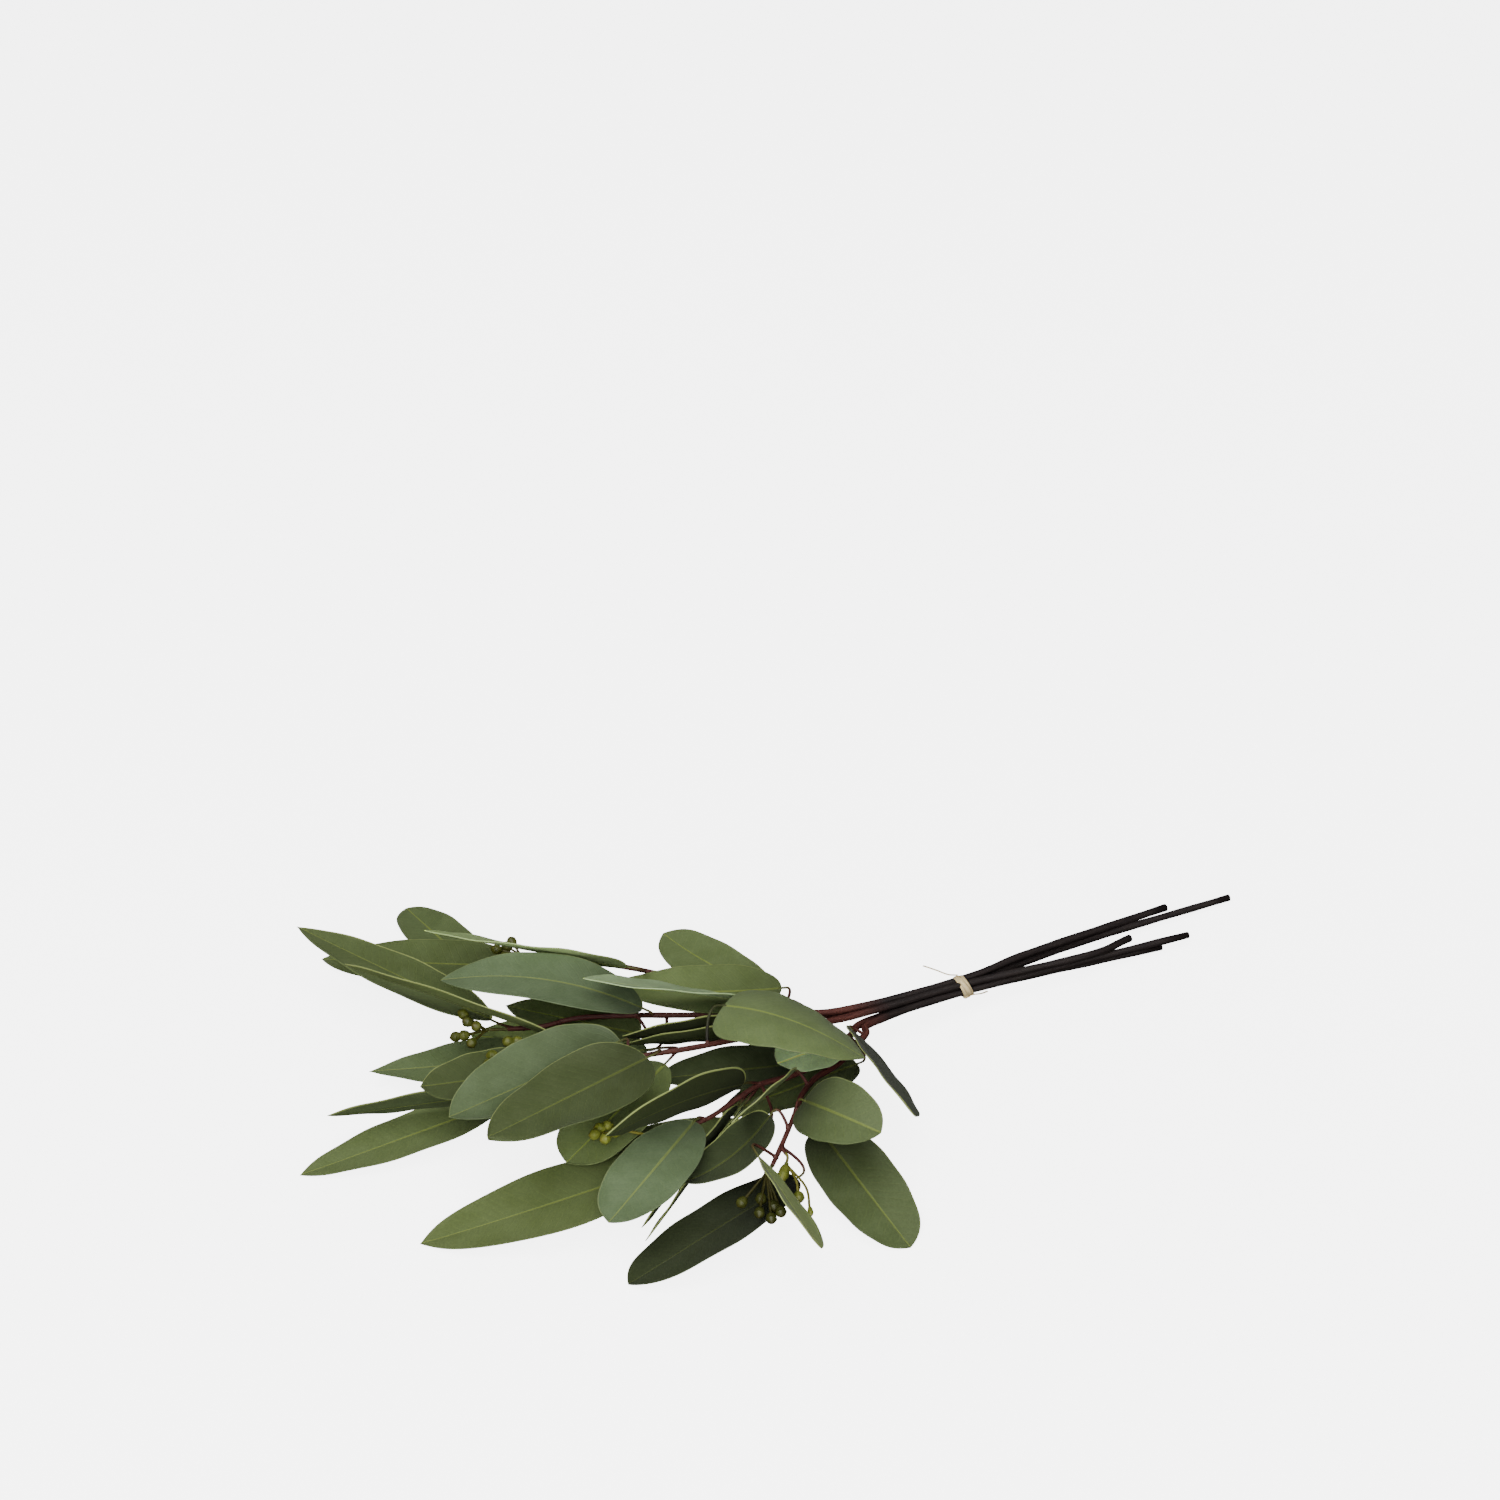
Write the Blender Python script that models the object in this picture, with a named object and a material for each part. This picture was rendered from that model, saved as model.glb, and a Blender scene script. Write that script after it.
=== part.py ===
"""Bunch of five seeded eucalyptus sprigs with gum nuts, tied with raffia and lying down.

Lengths in the tables are millimetres. They are measured from the point on the surface under
the tie: +X runs along the bundle to the cut stem ends, +Y across it, +Z up.
"""

import math
from typing import NamedTuple

import bpy
import numpy as np

MM = 0.001

# Where the point under the tie lies in the part's frame, whose origin is the middle of the floor box
BUNCH_AT = (88.03, -22.97, 0.0)

LEAF_THICKNESS = 0.9
LEAF_ROWS = 8
LEAF_COLUMNS = 4
BASE_END_WIDTH = 2.2
TIP_END_WIDTH = 1.2
LIFTED_SHARE = 0.35

TIE_HEIGHT = 14.0
STEM_RADIUS = 1.7
STEM_GAP = 0.6
TWIG_TIP_RADIUS = 0.9
THINNING_POWER = 0.6
STEM_SPACING = 2 * STEM_RADIUS + STEM_GAP
SLOT_RADIUS = STEM_SPACING / 2 / math.sin(math.pi / 5)
PETIOLE_RADIUS = 0.75
PETIOLE_GAP = 0.45
PETIOLE_NECK = 1.5
PETIOLE_LEAD = 0.45
EARLIER_FORK = 0.7
FIRST_TWIG_POINT = 5
ROUND_SIDES = 2
THIN_SIDES = 1

BAND_WIDTH = 6.5
BAND_THICKNESS = 0.9
TIE_SLACK = 0.8
BAND_SIDES = 20
STRAND_RADIUS = 0.5

# The knot sits low on the near side of the band; its place is given as shares of the band's radius
KNOT_ASIDE = 0.72
KNOT_DROP = 0.78
KNOT_HALF_LENGTH = 2.6
KNOT_PROFILE = ((0.15, 1.1), (0.5, 1.6), (0.85, 1.1))
NEAR_END = ((6, -5.4, 8.6), (12, -5.8, 8.0))
FAR_END = ((0, 4.4, 17.9), (-8, 9.5, 18.5), (-13, 18, 19))

NUT_LENGTH = 5.6
NUT_RADIUS = 2.3
NUT_SIDES = 8
NUT_PROFILE = ((0.0, 0.5), (0.22, 0.85), (0.6, 1.0), (0.86, 0.78), (1.0, 0.32))
STALK_RADIUS = 0.6
STALK_SUNK = 1.2
STALK_GAP = 0.35
STALK_NECK = 1.3
HUB_RADIUS = 1.5
HUB_PROFILE = ((0.2, 0.8), (0.5, 1.0), (0.8, 0.8))

LEAF_GREEN = (0.115, 0.170, 0.075, 1.0)
LEAF_BLUE_GREEN = (0.150, 0.205, 0.125, 1.0)
BARK_BROWN = (0.030, 0.018, 0.016, 1.0)
NUT_OLIVE = (0.230, 0.240, 0.045, 1.0)
RAFFIA_CREAM = (0.700, 0.620, 0.400, 1.0)


class Leaf(NamedTuple):
    """One leaf: where its blade starts and ends, how it lies between them, where its stalk forks off."""
    base: tuple
    tip: tuple
    width: float
    roll: float = 0.0
    arch: float = 0.0
    sweep: float = 0.0
    twist: float = 0.0
    cup: float = 0.08
    wave: float = 0.0
    full: float = 0.5
    taper: float = 0.8
    lift: float = 0.0
    fork: tuple = ()
    pale: bool = False


class Nut(NamedTuple):
    """One gum nut: its middle, its size and the bend of its stalk, if it has one."""
    middle: tuple
    length: float = NUT_LENGTH
    radius: float = NUT_RADIUS
    bend: tuple = ()


class Cluster(NamedTuple):
    """Gum nuts whose stalks meet in one hub near the wood."""
    hub: tuple
    nuts: tuple


class Sprig(NamedTuple):
    """One sprig: its branch from the cut end to the last twig, its leaves and its nuts."""
    stem: tuple
    slot_angle: float
    route: tuple
    leaves: tuple
    clusters: tuple
    side_twigs: tuple = ()


SPRIGS = (
    Sprig(
        stem=((170, 12, 3.0), (84, 12, 6)), slot_angle=-18,
        route=((-72, 5, 18.5), (-93, 15, 28), (-124, 40, 31), (-150, 66, 33), (-172, 88, 31), (-190, 104, 28)),
        leaves=(
            Leaf((-95, 23, 28), (-108, 124, 1.5), 28, roll=15, sweep=-3, full=0.65, taper=0.5),
            Leaf((-95, 17, 35.5), (-172, 56, 38), 39, arch=-3, twist=8, cup=0.1, taper=0.9),
            Leaf((-163, 52, 49), (-247, 107, 64), 32, roll=-40, twist=26, sweep=2),
            Leaf((-199, 109, 23), (-274, 187, 0.6), 36, roll=2, taper=0.7),
            Leaf((-213, 127, 13), (-218, 207, 0.6), 30, roll=-2, taper=0.45, fork=(-172, 88, 31)),
        ),
        clusters=(
            Cluster((-196, 108, 30), (Nut((-206, 115, 32)), Nut((-200, 116, 31)), Nut((-197, 116, 33)),
                                      Nut((-204, 109, 31)))),
        ),
    ),
    Sprig(
        stem=((134, 18, 5.0), (45, 8, 14)), slot_angle=54,
        route=((-70, 2, 22.5), (-106, 9, 31), (-140, 20, 33), (-169, 29, 37), (-196, 38, 39), (-214, 44, 36),
               (-228, 52, 34)),
        leaves=(
            Leaf((-113, 7, 41), (-198, 27, 72), 38, roll=-30, twist=16, taper=0.7, fork=(-88, 5, 29), pale=True),
            Leaf((-114, 8, 26), (-186, 10, 44), 32, roll=-54),
            Leaf((-171, 18, 50), (-253, 74, 58), 41, roll=-4, arch=7, sweep=3, taper=0.65, pale=True),
            Leaf((-171, 22, 31), (-219, 75, 29), 34),
            Leaf((-165, 34, 10), (-231, 94, 0.9), 40, taper=0.7),
            Leaf((-215, 24, 45), (-286, 117, 50), 28, roll=-50, taper=0.7),
            Leaf((-217, 43, 18), (-290, 83, 8), 34, taper=1.0, pale=True),
            Leaf((-230, 68, 29), (-290, 174, 36), 30, roll=-6, cup=0.1, full=0.6),
        ),
        clusters=(
            Cluster((-238, 55, 35), (Nut((-247, 62, 43)), Nut((-247, 57, 42)), Nut((-244, 53, 41)),
                                     Nut((-254, 56, 36)), Nut((-250, 55, 36)), Nut((-249, 48, 36)))),
        ),
    ),
    Sprig(
        stem=((100, 0, 9.0), (69, -7, 13.5)), slot_angle=126,
        route=((-68, -5, 23), (-110, -9, 33), (-152, -14, 43), (-182, -12, 47), (-204, -4, 45), (-218, 6, 45)),
        leaves=(
            Leaf((-141, -10, 60.5), (-95, -67, 52), 53, roll=15, arch=8, sweep=5, twist=20, cup=-0.15,
                 full=0.25, taper=0.5),
            Leaf((-110, 4, 23), (-183, 12, 37), 28, roll=-52),
            Leaf((-171, 14, 27), (-236, 36, 24), 28, pale=True),
            Leaf((-175, -14, 40), (-238, -36, 20), 38, taper=0.4),
            Leaf((-192, -30, 62), (-279, -40, 55), 46, wave=1.5, full=0.4, taper=0.65),
            Leaf((-193, -3, 53), (-286, -11, 48), 45, roll=4, cup=0.2, full=0.4, taper=0.6, pale=True),
            Leaf((-224, 5, 42), (-285, 27, 38), 38, taper=0.6),
            Leaf((-239, 13, 29), (-325, 49, 19), 26, roll=-58),
            Leaf((-243, 24, 15), (-346, 35, 0.6), 29, taper=0.7),
        ),
        clusters=(
            Cluster((-226, 14, 48), (Nut((-239, 26, 49)), Nut((-235, 24, 49)), Nut((-250, 20, 49), bend=(-238, 15, 49)),
                                     Nut((-254, 15, 49), bend=(-238, 13, 49)), Nut((-247, 14, 49)))),
        ),
    ),
    Sprig(
        stem=((116, -6, 1.8),), slot_angle=270,
        route=((-58, -5, 16.5), (-74, -15, 20), (-100, -30, 24), (-118, -35, 26), (-135, -37, 29), (-149, -41, 29),
               (-171, -48, 29), (-197, -48, 30)),
        leaves=(
            Leaf((-75, -25, 10), (-149, -23, 5), 30, full=0.4, taper=0.6),
            Leaf((-104, -19, 17), (-174, 0, 20), 34),
            Leaf((-139, -40, 0.45), (-212, -16, 0.45), 36, cup=0.0, lift=3, taper=0.7),
            Leaf((-142, -32, 14), (-223, -90, 8), 22, roll=-63),
            Leaf((-147, -36, 19), (-222, -84, 11), 25, roll=-71),
            Leaf((-146, -40, 36), (-230, -64, 55), 36, roll=-65, sweep=-7, taper=0.7, fork=(-135, -37, 29)),
            Leaf((-178, -51, 33), (-243, -93, 30), 36, taper=0.5, pale=True),
            Leaf((-206, -61, 22), (-314, -36, 0.6), 44, sweep=-1, full=0.45, taper=0.7),
        ),
        clusters=(
            Cluster((-211, -45, 36), (Nut((-222, -40, 38)), Nut((-218, -40, 38)), Nut((-226, -43, 38)),
                                      Nut((-223, -48, 38)), Nut((-217, -47, 39)))),
        ),
    ),
    Sprig(
        stem=((131, -8, 5.6),), slot_angle=198,
        route=((-58, -11, 20), (-68, -20, 22), (-91, -36, 25), (-109, -45, 29), (-123, -57, 33), (-133, -69, 35),
               (-151, -88, 35), (-161, -98, 35)),
        leaves=(
            Leaf((-82, -25, 29), (-121, -28, 30), 30, cup=0.04, taper=0.5, pale=True),
            Leaf((-76, -21, 29), (-85, -99, 36), 32, roll=52, taper=0.6),
            Leaf((-124, -48, 40), (-174, -82, 54), 24, roll=-53),
            Leaf((-130, -72, 43), (-111, -112, 46), 35, roll=-20, arch=4, sweep=1.5, full=0.3, taper=0.5),
            Leaf((-124, -76, 26), (-112, -144, 0.6), 38, roll=-3, full=0.35, taper=0.45),
            Leaf((-149, -73, 42), (-197, -77, 23), 32, roll=-12, arch=-5, cup=0.1, full=0.4, taper=0.65),
            Leaf((-148, -98, 22), (-240, -106, 1.2), 39, roll=-14, full=0.4, taper=0.45),
            Leaf((-172, -105, 51), (-169, -161, 38), 28, roll=52, full=0.8, taper=0.6, fork=(-161, -98, 35)),
        ),
        clusters=(
            Cluster((-164, -98, 32), (Nut((-172, -108, 27)), Nut((-177, -116, 27)), Nut((-169, -115, 27)),
                                      Nut((-168, -120, 27)), Nut((-174, -122, 27)), Nut((-181, -106, 27)))),
            Cluster((-154, -99, 34), (Nut((-158, -104, 34), length=11.0),
                                      Nut((-158, -119, 31), bend=(-155, -110, 34)),
                                      Nut((-159, -132, 33), radius=1.2, bend=(-154, -118, 35)))),
        ),
        side_twigs=(((-150, -87, 35), (-152, -91, 36.5), (-152, -95, 36)),),
    ),
)


def clear_scene():
    """Remove what the file starts with."""
    for item in list(bpy.data.objects):
        bpy.data.objects.remove(item, do_unlink=True)


def material(name, colour, roughness):
    """A plain Principled material."""
    made = bpy.data.materials.new(name)
    made.use_nodes = True
    shader = made.node_tree.nodes["Principled BSDF"]
    shader.inputs["Base Color"].default_value = colour
    shader.inputs["Roughness"].default_value = roughness
    shader.inputs["Metallic"].default_value = 0.0
    return made


def unit(vector):
    """The vector at length one."""
    vector = np.asarray(vector, float)
    return vector / np.linalg.norm(vector)


def node(name, mesh, look, bunch):
    """A named object that holds one finished solid."""
    made = bpy.data.objects.new(name, mesh)
    made.parent = bunch
    mesh.materials.clear()
    mesh.materials.append(look)
    bpy.context.scene.collection.objects.link(made)
    return made


def mesh_from(name, points, faces):
    """A mesh with its points given in millimetres."""
    mesh = bpy.data.meshes.new(name)
    mesh.from_pydata([tuple(float(c) * MM for c in point) for point in points], [], faces)
    mesh.update()
    return mesh


def blade(leaf, rows=LEAF_ROWS, columns=LEAF_COLUMNS):
    """The middle surface of a leaf as rows of points from its base to its tip."""
    base = np.array(leaf.base, float)
    tip = np.array(leaf.tip, float)
    axis = unit(tip - base)
    level_side = unit(np.cross(axis, (0, 0, 1)))
    level_up = np.cross(level_side, axis)
    along = (1 - np.cos(np.pi * np.arange(rows + 1) / rows)) / 2
    widest = leaf.full / (leaf.full + leaf.taper)
    swell = along ** leaf.full * (1 - along) ** leaf.taper
    half = leaf.width / 2 * swell / (widest ** leaf.full * (1 - widest) ** leaf.taper)
    half[0] = BASE_END_WIDTH / 2
    half[-1] = TIP_END_WIDTH / 2
    across = np.linspace(-1, 1, columns + 1)
    roll = math.radians(leaf.roll)
    bow_side = level_side * math.cos(roll) + level_up * math.sin(roll)
    bow_up = level_up * math.cos(roll) - level_side * math.sin(roll)
    points = []
    for share, reach in zip(along, half):
        bow = 4 * share * (1 - share)
        centre = base + share * (tip - base) + bow * (leaf.arch * bow_up + leaf.sweep * bow_side)
        centre[2] += leaf.lift * max(0.0, 1 - share / LIFTED_SHARE) ** 2
        turn = roll + math.radians(leaf.twist) * (share - 0.5)
        side = level_side * math.cos(turn) + level_up * math.sin(turn)
        up = level_up * math.cos(turn) - level_side * math.sin(turn)
        ripple = leaf.wave * math.sin(2.5 * math.pi * share)
        rise = leaf.cup * reach * across ** 2 + ripple * across ** 3
        points.append(centre + np.outer(across * reach, side) + np.outer(rise, up))
    return np.array(points)


def make_leaf(name, leaf, look, bunch):
    """A leaf blade of even thickness, split alike on both faces."""
    grid = blade(leaf)
    columns = grid.shape[1]
    faces = []
    for row in range(grid.shape[0] - 1):
        for column in range(columns - 1):
            near = row * columns + column
            far = near + columns
            if column < (columns - 1) // 2:
                faces += [(near, near + 1, far + 1), (near, far + 1, far)]
            else:
                faces += [(near, near + 1, far), (near + 1, far + 1, far)]
    made = node(name, mesh_from(name, grid.reshape(-1, 3), faces), look, bunch)
    thicken = made.modifiers.new("thickness", "SOLIDIFY")
    thicken.thickness = LEAF_THICKNESS * MM
    thicken.offset = 0.0
    return made


def smooth_route(points, steps):
    """Points of a Catmull-Rom curve through the given ones."""
    points = [np.array(point, float) for point in points]
    padded = [2 * points[0] - points[1]] + points + [2 * points[-1] - points[-2]]
    route = []
    for before, start, end, after in zip(padded, padded[1:], padded[2:], padded[3:]):
        for step in range(steps):
            t = step / steps
            route.append(0.5 * (2 * start + (end - before) * t
                                + (2 * before - 5 * start + 4 * end - after) * t ** 2
                                + (3 * start - 3 * end + after - before) * t ** 3))
    route.append(points[-1])
    return route


def tube(name, points, radii, bevel_resolution):
    """A loose closed tube along the points, to be fused with others."""
    curve = bpy.data.curves.new(name, "CURVE")
    curve.dimensions = "3D"
    curve.bevel_depth = MM
    curve.bevel_resolution = bevel_resolution
    curve.use_fill_caps = True
    spline = curve.splines.new("POLY")
    spline.points.add(len(points) - 1)
    for spot, point, radius in zip(spline.points, points, radii):
        spot.co = (point[0] * MM, point[1] * MM, point[2] * MM, 1.0)
        spot.radius = radius
    guide = bpy.data.objects.new(name, curve)
    bpy.context.scene.collection.objects.link(guide)
    mesh = bpy.data.meshes.new_from_object(guide.evaluated_get(bpy.context.evaluated_depsgraph_get()))
    bpy.data.objects.remove(guide, do_unlink=True)
    return loose(name, mesh)


def loose(name, mesh):
    """A helper object that a union takes in."""
    made = bpy.data.objects.new(name, mesh)
    bpy.context.scene.collection.objects.link(made)
    return made


def fuse(name, pieces, look, bunch):
    """One solid from helper objects that overlap, which are then removed."""
    first, rest = pieces[0], pieces[1:]
    group = bpy.data.collections.new(name + "_pieces")
    for piece in rest:
        group.objects.link(piece)
    union = first.modifiers.new("union", "BOOLEAN")
    union.operation = "UNION"
    union.solver = "EXACT"
    union.operand_type = "COLLECTION"
    union.collection = group
    mesh = bpy.data.meshes.new_from_object(first.evaluated_get(bpy.context.evaluated_depsgraph_get()))
    mesh.name = name
    for piece in pieces:
        bpy.data.objects.remove(piece, do_unlink=True)
    bpy.data.collections.remove(group)
    return node(name, mesh, look, bunch)


def turned(name, start, end, profile, sides):
    """A loose closed solid turned about the line from start to end."""
    start = np.array(start, float)
    axis = np.array(end, float) - start
    side = unit(np.cross(axis, (0.3, 0.2, 1.0)))
    other = unit(np.cross(axis, side))
    points = [start]
    for share, radius in profile:
        for turn in range(sides):
            angle = 2 * math.pi * turn / sides
            points.append(start + share * axis + radius * (side * math.cos(angle) + other * math.sin(angle)))
    points.append(start + axis)
    last = len(points) - 1
    faces = []
    for turn in range(sides):
        following = (turn + 1) % sides
        faces.append((0, 1 + following, 1 + turn))
        for ring in range(len(profile) - 1):
            low = 1 + ring * sides
            high = low + sides
            faces.append((low + turn, low + following, high + following, high + turn))
        top = 1 + (len(profile) - 1) * sides
        faces.append((top + turn, top + following, last))
    return loose(name, mesh_from(name, points, faces))


def tie_slot(sprig):
    """Where the sprig's stem passes through the tie."""
    angle = math.radians(sprig.slot_angle)
    return (0.0, SLOT_RADIUS * math.cos(angle), TIE_HEIGHT + SLOT_RADIUS * math.sin(angle))


def branch_route(sprig):
    """The points of the branch from its cut end to its last twig, and its radius at each."""
    points = smooth_route(sprig.stem + (tie_slot(sprig),) + sprig.route, 2)
    woody = FIRST_TWIG_POINT + 1
    radii = []
    for index in range(len(points)):
        thinning = max(0.0, (index - woody + 1) / (len(points) - woody))
        radii.append(STEM_RADIUS + (TWIG_TIP_RADIUS - STEM_RADIUS) * min(1.0, thinning) ** THINNING_POWER)
    return points, radii


def petiole_points(leaf, route):
    """The leaf stalk's curve, from the branch to just short of the blade."""
    grid = blade(leaf)
    middle = grid.shape[1] // 2
    heading = unit(grid[1, middle] - grid[0, middle])
    skew = np.linalg.norm(np.cross(heading, unit(np.subtract(leaf.tip, leaf.base))))
    end = grid[0, middle] - heading * (PETIOLE_GAP + skew * BASE_END_WIDTH / 2)
    neck = end - heading * PETIOLE_NECK
    twigs = route[FIRST_TWIG_POINT:-1]
    wanted = np.array(leaf.fork or neck, float)
    reach = [np.linalg.norm(point - wanted) + EARLIER_FORK * index for index, point in enumerate(twigs)]
    start = twigs[int(np.argmin(reach))]
    lead = neck - heading * np.linalg.norm(neck - start) * PETIOLE_LEAD
    curve = []
    for t in (0.0, 0.35, 0.7, 1.0):
        curve.append((1 - t) ** 2 * start + 2 * t * (1 - t) * lead + t * t * neck)
    return curve + [end]


def make_branch(name, sprig, look, bunch):
    """A stem with its twig and its leaf stalks, grown as one piece."""
    route, radii = branch_route(sprig)
    pieces = [tube(name + "_wood", route, radii, ROUND_SIDES)]
    for leaf in sprig.leaves:
        curve = petiole_points(leaf, route)
        pieces.append(tube(name + "_petiole", curve, [PETIOLE_RADIUS] * len(curve), THIN_SIDES))
    for twig in sprig.side_twigs:
        pieces.append(tube(name + "_side_twig", twig, [TWIG_TIP_RADIUS] * len(twig), THIN_SIDES))
    return fuse(name, pieces, look, bunch)


def make_nuts(name, cluster, twig, look, bunch):
    """Gum nuts on short stalks that meet in a hub near the end of the twig."""
    hub = np.array(cluster.hub, float)
    wood_end = np.array(twig[-1], float)
    onward = unit(wood_end - np.array(twig[-2], float))
    toward = unit(hub - wood_end)
    hub_rings = tuple((share, radius * HUB_RADIUS) for share, radius in HUB_PROFILE)
    pieces = [turned(name + "_hub", hub - toward * HUB_RADIUS, hub + toward * HUB_RADIUS, hub_rings, NUT_SIDES)]
    foot_stalk = [wood_end + onward * STALK_GAP, wood_end + onward * STALK_NECK, hub]
    pieces.append(tube(name + "_foot_stalk", foot_stalk, [STALK_RADIUS] * 3, THIN_SIDES))
    for nut in cluster.nuts:
        middle = np.array(nut.middle, float)
        stalk = [hub] + [np.array(nut.bend, float)] * bool(nut.bend)
        heading = unit(middle - stalk[-1])
        foot = middle - heading * nut.length / 2
        stalk.append(foot + heading * STALK_SUNK)
        rings = tuple((share, radius * nut.radius) for share, radius in NUT_PROFILE)
        pieces.append(tube(name + "_stalk", stalk, [STALK_RADIUS] * len(stalk), THIN_SIDES))
        pieces.append(turned(name + "_nut", foot, foot + heading * nut.length, rings, NUT_SIDES))
    return fuse(name, pieces, look, bunch)


def make_tie(look, bunch):
    """The raffia band round the five stems, its knot and its two ends."""
    inner = SLOT_RADIUS + STEM_RADIUS + TIE_SLACK
    outer = inner + BAND_THICKNESS
    points = []
    for along, radius in ((-0.5, inner), (-0.5, outer), (0.5, outer), (0.5, inner)):
        for turn in range(BAND_SIDES):
            angle = 2 * math.pi * turn / BAND_SIDES
            points.append((along * BAND_WIDTH, radius * math.cos(angle), TIE_HEIGHT + radius * math.sin(angle)))
    faces = []
    for ring in range(4):
        for turn in range(BAND_SIDES):
            following = (turn + 1) % BAND_SIDES
            low = ring * BAND_SIDES
            high = (ring + 1) % 4 * BAND_SIDES
            faces.append((low + turn, high + turn, high + following, low + following))
    band = loose("band", mesh_from("band", points, faces))
    knot_at = np.array((0.0, -outer * KNOT_ASIDE, TIE_HEIGHT - outer * KNOT_DROP))
    reach = np.array((KNOT_HALF_LENGTH, 0.0, 0.0))
    knot = turned("knot", knot_at - reach, knot_at + reach, KNOT_PROFILE, NUT_SIDES)
    near_end = tube("near_end", (knot_at,) + NEAR_END, [STRAND_RADIUS] * 3, THIN_SIDES)
    far_end = tube("far_end", FAR_END, [STRAND_RADIUS] * 3, THIN_SIDES)
    return fuse("tie", [band, knot, near_end, far_end], look, bunch)


def build():
    """Make every piece of the bunch."""
    clear_scene()
    bunch = bpy.data.objects.new("bunch", None)
    bunch.location = [c * MM for c in BUNCH_AT]
    bpy.context.scene.collection.objects.link(bunch)
    green = material("leaf_green", LEAF_GREEN, 0.55)
    blue_green = material("leaf_blue_green", LEAF_BLUE_GREEN, 0.6)
    bark = material("bark", BARK_BROWN, 0.6)
    olive = material("nut_olive", NUT_OLIVE, 0.5)
    cream = material("raffia_cream", RAFFIA_CREAM, 0.8)
    for number, sprig in enumerate(SPRIGS, start=1):
        make_branch(f"branch_{number}", sprig, bark, bunch)
        twigs = (branch_route(sprig)[0],) + sprig.side_twigs
        for order, (cluster, twig) in enumerate(zip(sprig.clusters, twigs), start=1):
            make_nuts(f"nuts_{number}_{order}", cluster, twig, olive, bunch)
        for order, leaf in enumerate(sprig.leaves, start=1):
            make_leaf(f"leaf_{number}_{order}", leaf, blue_green if leaf.pale else green, bunch)
    make_tie(cream, bunch)


build()
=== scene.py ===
"""Looks of the tied bunch of seeded eucalyptus: leaves, bark, gum nuts, raffia, floor, light and camera.

Lengths in the tables are millimetres, measured from the point under the tie as in the part's source:
+X runs along the bundle to the cut stem ends, +Y across it, +Z up.
"""

import math
from typing import NamedTuple

import bpy
import numpy as np
from mathutils import Matrix, Vector

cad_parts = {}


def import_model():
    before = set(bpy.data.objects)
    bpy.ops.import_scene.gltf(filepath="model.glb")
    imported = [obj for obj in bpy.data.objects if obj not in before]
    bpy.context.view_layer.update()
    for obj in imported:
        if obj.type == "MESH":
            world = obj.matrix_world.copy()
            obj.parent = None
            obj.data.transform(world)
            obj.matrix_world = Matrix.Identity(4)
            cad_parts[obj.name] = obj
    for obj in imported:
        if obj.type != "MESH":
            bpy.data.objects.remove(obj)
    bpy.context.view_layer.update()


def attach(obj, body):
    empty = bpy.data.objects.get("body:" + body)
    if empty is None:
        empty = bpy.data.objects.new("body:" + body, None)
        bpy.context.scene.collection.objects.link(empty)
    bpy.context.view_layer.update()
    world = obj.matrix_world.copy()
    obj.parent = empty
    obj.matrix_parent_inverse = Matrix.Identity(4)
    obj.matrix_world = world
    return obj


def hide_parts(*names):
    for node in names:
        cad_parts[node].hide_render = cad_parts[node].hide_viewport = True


MM = 0.001
BUNCH_AT = (88.03, -22.97, 0.0)

# Sizes and rules that the part's solids follow too
LIFTED_SHARE = 0.35
TIE_HEIGHT = 14.0
STEM_RADIUS = 1.7
STEM_GAP = 0.6
TWIG_TIP_RADIUS = 0.9
STEM_SPACING = 2 * STEM_RADIUS + STEM_GAP
SLOT_RADIUS = STEM_SPACING / 2 / math.sin(math.pi / 5)
PETIOLE_RADIUS = 0.75
PETIOLE_LEAD = 0.45
PETIOLE_NECK = 2.2
PETIOLE_IN_BLADE = 1.6
EARLIER_FORK = 0.7
FIRST_TWIG_POINT = 5
THINNING_POWER = 0.6
NUT_LENGTH = 5.6
NUT_RADIUS = 2.3

# The finer leaf
LEAF_ROWS = 44
LEAF_COLUMNS = 16
HALF_THICKNESS = 0.30
RIM_BULGE = 0.32
BASE_HALF_WIDTH = 0.5
TIP_HALF_WIDTH = 0.25
POINT_REACH = 0.035
MIDRIB_FOLD = 0.45
MIDRIB_REACH = 2.2
EDGE_RIPPLE = 0.35
RIPPLE_WAVES = 2.2
OTHER_RIPPLE_WAVES = 1.7
VEIN_SPACING = 4.6
VEIN_SLANT = 0.75
VEIN_WANDER = 3.0
VEIN_LOOP_INSET = 2.0
# Painted highlight on the leaf rims: an even share, an extra share on the edge that faces up in the view,
# and a least share
RIM_HIGHLIGHT_EVEN_SHARE = 0.5
RIM_HIGHLIGHT_UPWARD_SHARE = 1.6
RIM_HIGHLIGHT_LEAST_SHARE = 0.12

# The finer branch
BRANCH_STEPS = 8
BARK_SWELL = 0.2
YOUNG_WOOD_FROM = 48
YOUNG_WOOD_OVER = 18
COLLAR_LENGTH = 3.2
COLLAR_PROFILE = ((0.0, 0.9), (0.4, 1.35), (0.75, 1.15), (1.0, 0.8))

# A gum nut from its foot, past the ridge where its cap sits: share of its length, share of its radius
NUT_PROFILE = ((0.0, 0.25), (0.04, 0.42), (0.16, 0.72), (0.32, 0.93), (0.47, 1.0), (0.58, 0.99),
               (0.62, 1.05), (0.66, 0.97), (0.76, 0.83), (0.87, 0.58), (0.95, 0.3), (1.0, 0.08))
NUT_PLUMPNESS = 1.12
NUT_RIPPLE = 0.012
HUB_PROFILE = ((0.0, 0.5), (0.3, 1.1), (0.6, 1.15), (1.0, 0.5))

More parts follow.
